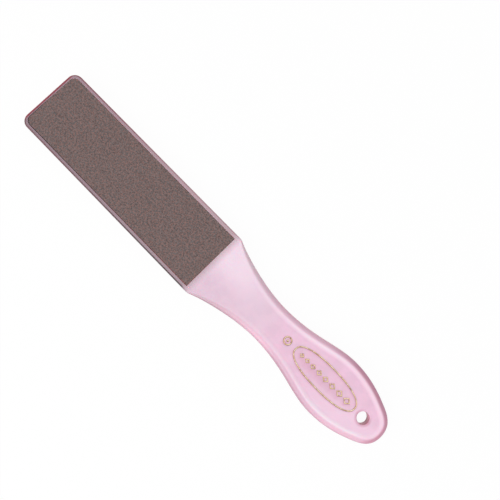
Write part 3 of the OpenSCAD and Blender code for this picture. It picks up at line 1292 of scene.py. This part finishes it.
@dataclass
class HandleMoulding:
    """The one moulding: paddle with its two recesses, neck, grip, hanging hole and emblem."""

    outline: PaddleOutline
    emblem: Emblem
    hole_x: float
    hole_r: float
    recess_corners: tuple[float, float] = (3.4, 0.3)
    recess_edge_r: float = 0.15
    recess_margin: float = 0.03
    recess_steps: int = 5
    hole_rim_r: float = 0.7
    hole_margin: float = 1.1
    hole_steps: int = 128
    rim_steps: int = 9
    # The hole's wall: how deep its ring of darkest painted shade lies as a share of the straight
    # part, how far it has the wall's painted tone there, and the share of the edge's painted light
    # and shade at the rim's top and foot
    hole_deep: float = 0.4
    hole_wall: float = 0.8
    hole_edges: tuple[float, float] = (0.4, 0.6)
    # Painted light makes the hole's wall at +Y paler, as if it looked to the lamp, and painted
    # rosy shade covers the rest
    hole_lit: float = 0.7
    hole_rosy: float = 0.4
    hole_rosy_end: float = 0.3
    # The share of the line's painted shade on top of a raised line, at its foot, and on the face
    # that it frames
    line_tones: tuple[float, float] = (0.35, 0.85)
    framed_share: float = 0.16
    line_margin: float = 0.2

    def level(self, side: Side, height: float) -> float:
        """Height in the frame of a height above the middle, on either side."""
        return self.outline.mid_z + side.value * height

    def outer_rings(self, shell: Shell) -> list[Ring]:
        """Adds the rings round the outline.

        Args:
            shell: The moulding's shell.

        Returns:
            The rings, from the coarse face to the fine one.
        """
        points, out = self.outline.loop()
        at = np.array([self.outline.far_x, 0.0]) + points
        return [
            shell.ring(at - out * np.asarray(inset)[:, None], self.level(side, height), tones)
            for side, inset, height, tones in over_both(self.outline.edge_rows(points[:, 0]))
        ]

    def recess(self, shell: Shell, side: Side) -> Ring:
        """Adds the recess of one side, down to its floor.

        Args:
            shell: The moulding's shell.
            side: The side that it is in.

        Returns:
            The ring round its opening.
        """
        low, high = box_mm("coarse_adhesive" if side is Side.COARSE else "fine_adhesive")
        line, radius = self.outline, self.recess_edge_r
        start = line.far_x + line.rim_end_w
        plan = TaperedPlan((start, start + line.recess_l), line.recess_half_w, self.recess_corners)
        top = line.face_half_t
        rings = [shell.ring(plan.at(radius + self.recess_margin), self.level(side, top))]
        for out, down in quarter_round(self.recess_steps):
            z = self.level(side, top - radius * down)
            rings.append(shell.ring(plan.at(radius * out), z, {Tone.WALL: down}))
        floor_z = low[2] if side is Side.COARSE else high[2]
        rings.append(shell.ring(plan.at(0.0), floor_z, {Tone.WALL: 1.0}))
        shell.band(rings)
        shell.fill(rings[-1])
        return rings[0]

    def hole(self, shell: Shell) -> dict[Side, Ring]:
        """Adds the hanging hole with its softened rims.

        Args:
            shell: The moulding's shell.

        Returns:
            The ring round its opening in each flat face.
        """
        top, rim = self.outline.face_half_t, self.hole_rim_r
        across = np.sin(np.linspace(0, 2 * math.pi, self.hole_steps, endpoint=False))
        # Painted light: less of the edge's tone at +Y; painted rosy shade from the line's tone
        # elsewhere
        lit = 1 - self.hole_lit * np.clip(across, 0, 1)
        rosy = self.hole_rosy * np.clip(self.hole_rosy_end - across, 0, 1)
        rows: list[tuple[float, float, dict[Tone, Any]]] = [(rim + self.hole_margin, top, {})]
        for out, down in quarter_round(self.rim_steps):
            edge = ramp(self.hole_edges, down) * lit
            tones = {Tone.EDGE: edge, Tone.LINE: rosy, Tone.WALL: down**3}
            rows.append((rim * out, top - rim * down, tones))
        deep = {Tone.EDGE: self.hole_edges[1] * lit, Tone.LINE: rosy, Tone.WALL: self.hole_wall}
        rows.append((0.0, self.hole_deep * (top - rim), deep))
        rings = []
        for side, wider, height, tones in over_both(rows):
            half = self.hole_r + wider
            loop = RoundLoop(self.hole_x, half, half, count=self.hole_steps)
            rings.append(shell.ring(loop.at(0.0), self.level(side, height), tones))
        shell.band(rings)
        return {Side.COARSE: rings[0], Side.FINE: rings[-1]}

    def raised_lines(self, shell: Shell, side: Side) -> list[Ring]:
        """Adds the emblem's raised lines to one side.

        Args:
            shell: The moulding's shell.
            side: The side that they stand on.

        Returns:
            The rings where they meet the flat face.
        """
        feet: list[Ring] = []
        top, margin, line_h = self.outline.face_half_t, self.line_margin, self.emblem.line_h
        flat = self.level(side, top)
        for line in self.emblem.lines():
            # Rings beside a line carry its painted soft shadow at -Y and a framed face's painted
            # rosy shade
            outside, inside = line.rooms
            around = self.framed_share if line.is_framed else 0.0
            rows = [(-outside, around)] if outside else []
            rows.append((-margin, around + line.shadow(0.0)))
            rings = [shell.ring(line.loop.at(at), flat, {Tone.LINE: tone}) for at, tone in rows]
            for share in line.shares(0.0):
                z = self.level(side, top + line_h * line.crown(share))
                tone = ramp(self.line_tones, abs(2 * share - 1) ** 3)
                rings.append(shell.ring(line.across(share), z, {Tone.LINE: tone}))
            if line.is_dot:
                tones = {Tone.LINE: self.line_tones[0]}
                shell.fan(rings[-1], self.level(side, top + line_h), tones)
            else:
                rows = [(margin, self.framed_share + line.shadow(1.0))]
                rows += [(inside, self.framed_share)] if inside else []
                for at, tone in rows:
                    xy = line.loop.at(line.width + at)
                    rings.append(shell.ring(xy, flat, {Tone.LINE: tone}))
            shell.band(rings)
            feet += rings[:1] if line.is_dot else [rings[0], rings[-1]]
        return feet

    def build(self, plastic: Finish) -> None:
        """Makes the moulding.

        Args:
            plastic: Its finish.
        """
        shell = Shell(Tone.EDGE, Tone.CREST, Tone.WALL, Tone.LINE)
        outer = self.outer_rings(shell)
        shell.band(outer)
        holes = self.hole(shell)
        for side, rim in ((Side.COARSE, outer[0]), (Side.FINE, outer[-1])):
            recess, lines = self.recess(shell, side), self.raised_lines(shell, side)
            shell.fill(rim, recess, holes[side], *lines)
        piece = shell.mesh_object("handle_moulding")
        piece.data.materials.append(plastic.material())
        seat(piece, "body_plastic", "handle_body")


@dataclass
class GritSheet:
    """One abrasive sheet's coat: resin on the backing, and grains that stand in it.

    Real grains are about 0.25 mm wide on the coarse sheet and 0.1 mm on the fine one. They
    are drawn two to three times as wide, because they would not show otherwise.
    """

    name: str
    node: str
    slot: str
    side: Side
    finish: Finish
    grain_r: float
    spacing: float
    seed: int
    corners: tuple[float, float] = (3.2, 0.25)
    corner_steps: int = 9
    bed_share: float = 0.45
    bed_inset: float = 0.3
    bed_edge: float = 0.05
    # Share above which a face of the bed has grains, and how many fall on a square of the
    # spacing before those that lie too near are taken out
    full_bed: float = 0.99
    crowding: float = 1.6
    grain_scales: tuple[float, float] = (0.7, 1.15)
    grain_tones: tuple[float, float] = (0.15, 1.0)

    def bed(self) -> bpy.types.Object:
        """Makes the resin layer, whose upper face inside its border carries the grains.

        Returns:
            The layer's object.
        """
        (x0, _, z0), (x1, y1, z1) = box_mm(self.node)
        back, front = (z0, z1) if self.side is Side.COARSE else (z1, z0)
        bed_z = back + (front - back) * self.bed_share
        plan = TaperedPlan((x0, x1), (SHEET_FAR_W / 2, y1), self.corners, self.corner_steps)
        shell = Shell(Tone.GRAIN, Tone.BED)
        rings = [
            shell.ring(plan.at(0.0), back),
            shell.ring(plan.at(0.0), bed_z - self.side.value * self.bed_edge),
            shell.ring(plan.at(-self.bed_edge), bed_z),
            shell.ring(plan.at(-self.bed_inset), bed_z, {Tone.BED: 1.0}),
        ]
        shell.band(rings)
        shell.fill(rings[0])
        shell.fill(rings[-1])
        return shell.mesh_object(self.name, smooth_faces=False)

    def scatter_tree(self, material: bpy.types.Material) -> bpy.types.NodeTree:
        """Makes the node tree that strews grains over the bed.

        Args:
            material: The material of bed and grains.

        Returns:
            The tree, with named inputs for spacing, grain radius and seed.
        """
        tree = bpy.data.node_groups.new(f"{self.name}_scatter", "GeometryNodeTree")
        for name, kind in (
            ("Geometry", "Geometry"),
            ("Spacing", "Float"),
            ("Grain radius", "Float"),
            ("Seed", "Int"),
        ):
            tree.interface.new_socket(name, in_out="INPUT", socket_type=f"NodeSocket{kind}")
        tree.interface.new_socket("Geometry", in_out="OUTPUT", socket_type="NodeSocketGeometry")
        given = add_node(tree, "NodeGroupInput").outputs
        kind = "GeometryNodeInputNamedAttribute"
        on_bed = add_node(tree, kind, {"Name": Tone.BED.value}, data_type="FLOAT")
        inputs = {
            "Mesh": given["Geometry"],
            "Selection": add_node(tree, "FunctionNodeCompare", {0: on_bed, 1: self.full_bed}),
            "Distance Min": given["Spacing"],
            "Density Max": self.crowding / (self.spacing * MM) ** 2,
            "Seed": given["Seed"],
        }
        kind = "GeometryNodeDistributePointsOnFaces"
        points = add_node(tree, kind, inputs, distribute_method="POISSON")
        # The coarsest sphere is an octahedron, which serves as a small crystal
        inputs = {"Segments": 4, "Rings": 2, "Radius": given["Grain radius"]}
        crystal = add_node(tree, "GeometryNodeMeshUVSphere", inputs)
        low, high = self.grain_scales
        turn, scale, tone = (
            add_node(tree, "FunctionNodeRandomValue", {**limits, "Seed": seed}, data_type=form)
            for form, limits, seed in (
                ("FLOAT_VECTOR", {0: (0, 0, 0), 1: (2 * math.pi,) * 3}, given["Seed"]),
                ("FLOAT_VECTOR", {0: (low,) * 3, 1: (high,) * 3}, self.seed + 1),
                ("FLOAT", {2: self.grain_tones[0], 3: self.grain_tones[1]}, self.seed + 2),
            )
        )
        inputs = {"Points": points, "Instance": crystal, "Rotation": turn, "Scale": scale}
        grains = add_node(tree, "GeometryNodeInstanceOnPoints", inputs)
        inputs = {"Geometry": grains, "Name": Tone.GRAIN.value, "Value": tone}
        kind = "GeometryNodeStoreNamedAttribute"
        toned = add_node(tree, kind, inputs, data_type="FLOAT", domain="INSTANCE")
        joined = add_node(tree, "GeometryNodeJoinGeometry", {"Geometry": toned})
        tree.links.new(given["Geometry"], joined.inputs["Geometry"])
        real = add_node(tree, "GeometryNodeRealizeInstances", {"Geometry": joined})
        inputs = {"Geometry": real, "Material": material}
        coated = add_node(tree, "GeometryNodeSetMaterial", inputs)
        add_node(tree, "NodeGroupOutput", {"Geometry": coated})
        return tree

    def build(self) -> None:
        """Makes the coat as one plain mesh."""
        tree = self.scatter_tree(self.finish.material())
        bed = self.bed()
        scatter = bed.modifiers.new("scatter", "NODES")
        scatter.node_group = tree
        values = {"Spacing": self.spacing * MM, "Grain radius": self.grain_r * MM}
        values["Seed"] = self.seed
        for item in tree.interface.items_tree:
            if item.in_out == "INPUT" and item.name in values:
                scatter[item.identifier] = values[item.name]
        graph = bpy.context.evaluated_depsgraph_get()
        mesh = bpy.data.meshes.new_from_object(bed.evaluated_get(graph))
        bed.modifiers.remove(scatter)
        bed.data = mesh
        seat(bed, self.slot, self.node)


@dataclass
class SoftLight:
    """A large square lamp that looks at the file's middle. Its distance and size are metres."""

    name: str
    azimuth: float
    elevation: float
    distance: float
    size: float
    share: float

    def build(self) -> None:
        """Makes the lamp, as strong as a level white face needs for its share of full light."""
        lamp = bpy.data.lights.new(self.name, "AREA")
        lamp.shape = "SQUARE"
        lamp.size = self.size
        turn, rise = math.radians(self.azimuth), math.radians(self.elevation)
        flat = math.cos(rise)
        place = Vector((math.cos(turn) * flat, math.sin(turn) * flat, math.sin(rise)))
        lamp.energy = self.share * math.pi**2 * self.distance**2 / place.z
        made = put_object(self.name, lamp)
        made.location = place * self.distance
        made.rotation_euler = place.to_track_quat("Z", "Y").to_euler()


@dataclass
class Studio:
    """White floor, soft light, and a camera above the file that looks a little aslant.

    The file's middle shows at file_px. The camera stands straight above stand_px and looks at
    the middle of the picture, which is turned by some degrees from the file's axis. A pixel
    shows px_mm at the height of the file's middle plane.
    """

    picture_px: float = 500.0
    file_px: tuple[float, float] = (215.38, 267.43)
    stand_px: tuple[float, float] = (190.0, 298.0)
    px_mm: float = 0.5336
    turn: float = 45.82
    camera_height: float = 360.0
    sensor_mm: float = 36.0
    sky_share: float = 0.7
    # The floor's half width and its depth under the file, in metres, and how far it glows
    floor_half_w: float = 3.0
    floor_depth: float = 0.00002
    floor_glow: float = 0.96
    floor_paint: str = "#FAFAFA"
    lights: tuple[SoftLight, ...] = (
        SoftLight("key_lamp", azimuth=-100, elevation=40, distance=1.0, size=0.7, share=0.3),
    )

    def at_px(self, px: tuple[float, float], height: float) -> Vector:
        """Place that a point of the picture shows.

        Args:
            px: The point, from the picture's upper left corner.
            height: Height of the place above the file's middle plane, in millimetres.

        Returns:
            The place in metres.
        """
        turn = math.radians(self.turn)
        right = (px[0] - self.file_px[0]) * self.px_mm
        up = (self.file_px[1] - px[1]) * self.px_mm
        x = right * math.cos(turn) - up * math.sin(turn)
        y = right * math.sin(turn) + up * math.cos(turn)
        mid_z = sum(corner[2] for corner in box_mm("handle_body")) / 2
        return Vector((x, y, mid_z + height)) * MM

    def camera(self) -> None:
        """Makes the camera."""
        lens = bpy.data.cameras.new("camera")
        lens.sensor_width = self.sensor_mm
        place = self.at_px(self.stand_px, self.camera_height)
        back = place - self.at_px((self.picture_px / 2, self.picture_px / 2), 0.0)
        lens.lens = self.sensor_mm * (back.length / MM) / (self.picture_px * self.px_mm)
        turn = math.radians(self.turn)
        back.normalize()
        up = back.cross(Vector((math.cos(turn), math.sin(turn), 0))).normalized()
        axes = Matrix((up.cross(back), up, back)).transposed()
        made = put_object("camera", lens)
        made.matrix_world = Matrix.LocRotScale(place, axes, None)
        bpy.context.scene.camera = made

    @staticmethod
    def seen(tree: bpy.types.NodeTree) -> bpy.types.Node:
        """Tells what the eye sees, straight, mirrored or through glass, from what only lights.

        Args:
            tree: The tree that gets the nodes.

        Returns:
            The node that gives 1 for what the eye sees and otherwise 0.
        """
        path = add_node(tree, "ShaderNodeLightPath").outputs
        seen = path["Is Camera Ray"]
        for name in ("Is Glossy Ray", "Is Transmission Ray"):
            seen = add_node(tree, "ShaderNodeMath", {0: seen, 1: path[name]}, operation="MAXIMUM")
        return seen

    def world(self) -> None:
        """Makes the white surroundings, whose light on the file is a little weaker."""
        world = bpy.data.worlds.new("studio")
        tree = empty_tree(world)
        inputs = {"Value": self.seen(tree), "To Min": self.sky_share, "To Max": 1.0}
        strength = add_node(tree, "ShaderNodeMapRange", inputs)
        inputs = {"Color": WHITE, "Strength": strength}
        sky = add_node(tree, "ShaderNodeBackground", inputs)
        add_node(tree, "ShaderNodeOutputWorld", {"Surface": sky})
        bpy.context.scene.world = world

    def floor(self) -> None:
        """Makes the floor, white to the eye, with the file's faint shadow on it."""
        half, z = self.floor_half_w, -self.floor_depth
        mesh = bpy.data.meshes.new("floor")
        corners = [(-half, -half, z), (half, -half, z), (half, half, z), (-half, half, z)]
        mesh.from_pydata(corners, [], [(0, 1, 2, 3)])
        made = put_object("floor", mesh)
        paint = bpy.data.materials.new("white_table_paint")
        tree = empty_tree(paint)
        matt = add_node(tree, "ShaderNodeBsdfDiffuse", {"Color": linear(self.floor_paint)})
        glow = add_node(tree, "ShaderNodeEmission", {"Color": WHITE, "Strength": 1.0})
        inputs = {0: self.seen(tree), 1: self.floor_glow}
        share = add_node(tree, "ShaderNodeMath", inputs, operation="MULTIPLY")
        mixed = add_node(tree, "ShaderNodeMixShader", {0: share, 1: matt, 2: glow})
        add_node(tree, "ShaderNodeOutputMaterial", {"Surface": mixed})
        mesh.materials.append(paint)

    def build(self) -> None:
        """Makes the whole studio."""
        bpy.context.scene.view_settings.view_transform = "Standard"
        self.camera()
        self.world()
        self.floor()
        for light in self.lights:
            light.build()


def dress_node(node: bpy.types.Object, finish: Finish) -> None:
    """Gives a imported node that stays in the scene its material.

    Args:
        node: The node's object.
        finish: Its finish.
    """
    node.data.materials.clear()
    node.data.materials.append(finish.material())
    LOG.info("%s: the packed node, in %s", node.name, finish.name)


def write_sizes() -> None:
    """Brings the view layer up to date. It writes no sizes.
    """
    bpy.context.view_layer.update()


def main() -> None:
    """Loads the frame, and builds the studio and then the file's pieces in order."""
    logging.basicConfig(level=logging.INFO, format="%(message)s")
    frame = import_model()
    nodes = frame["nodes"]
    hole = next(m for m in frame["record"]["mounts"] if m["name"] == "hang_hole")
    Studio().build()
    outline, emblem = PaddleOutline(), Emblem()
    moulding = HandleMoulding(outline, emblem, hole["pos_m"][0] / MM, hole["dims"]["r_mm"])
    plastic = MouldedPlastic(
        "pink_moulded_polypropylene",
        sheet_end=box_mm("coarse_grit")[1][0],
        paddle_end=outline.far_x + outline.shoulder_x,
        file_half_l=box_mm("handle_body")[1][0],
        mid_z=outline.mid_z,
    )
    moulding.build(plastic)
    brown = GritCoat("brown_aluminium_oxide_grit")
    blue = GritCoat(
        "blue_silicon_carbide_grit",
        resin="#05303F",
        main="#063B4C",
        warm="#3A505C",
        cool="#022B3C",
        slate="#0A4252",
        ior=1.45,
        glint=0.3,
    )
    for sheet in (
        GritSheet(
            "coarse_grit_coat", "coarse_grit", "coarse_mineral", Side.COARSE, brown,
            grain_r=0.28, spacing=0.42, seed=11,
        ),
        GritSheet(
            "fine_grit_coat", "fine_grit", "fine_mineral", Side.FINE, blue,
            grain_r=0.14, spacing=0.38, seed=23,
        ),
    ):
        sheet.build()
    foil = StampedFoil("gold_stamping_foil")
    emblem.stamp("oval_foil_stamp", "oval_foil", emblem.oval(), foil)
    emblem.stamp("lozenge_foil_stamp", "lozenge_foil", emblem.lozenges(), foil)
    emblem.stamp("ring_foil_stamp", "ring_foil", emblem.small_ring(), foil)
    for name, finish in (
        ("coarse_adhesive", AdhesiveFilm("coarse_side_adhesive")),
        ("fine_adhesive", AdhesiveFilm("fine_side_adhesive")),
        ("coarse_backing", BackingPaper("brown_backing_paper")),
        ("fine_backing", BackingPaper("blue_backing_paper", paper="#2B3D46", fibre="#42555E")),
    ):
        dress_node(nodes[name], finish)
    write_sizes()


if __name__ == "__main__":
    main()
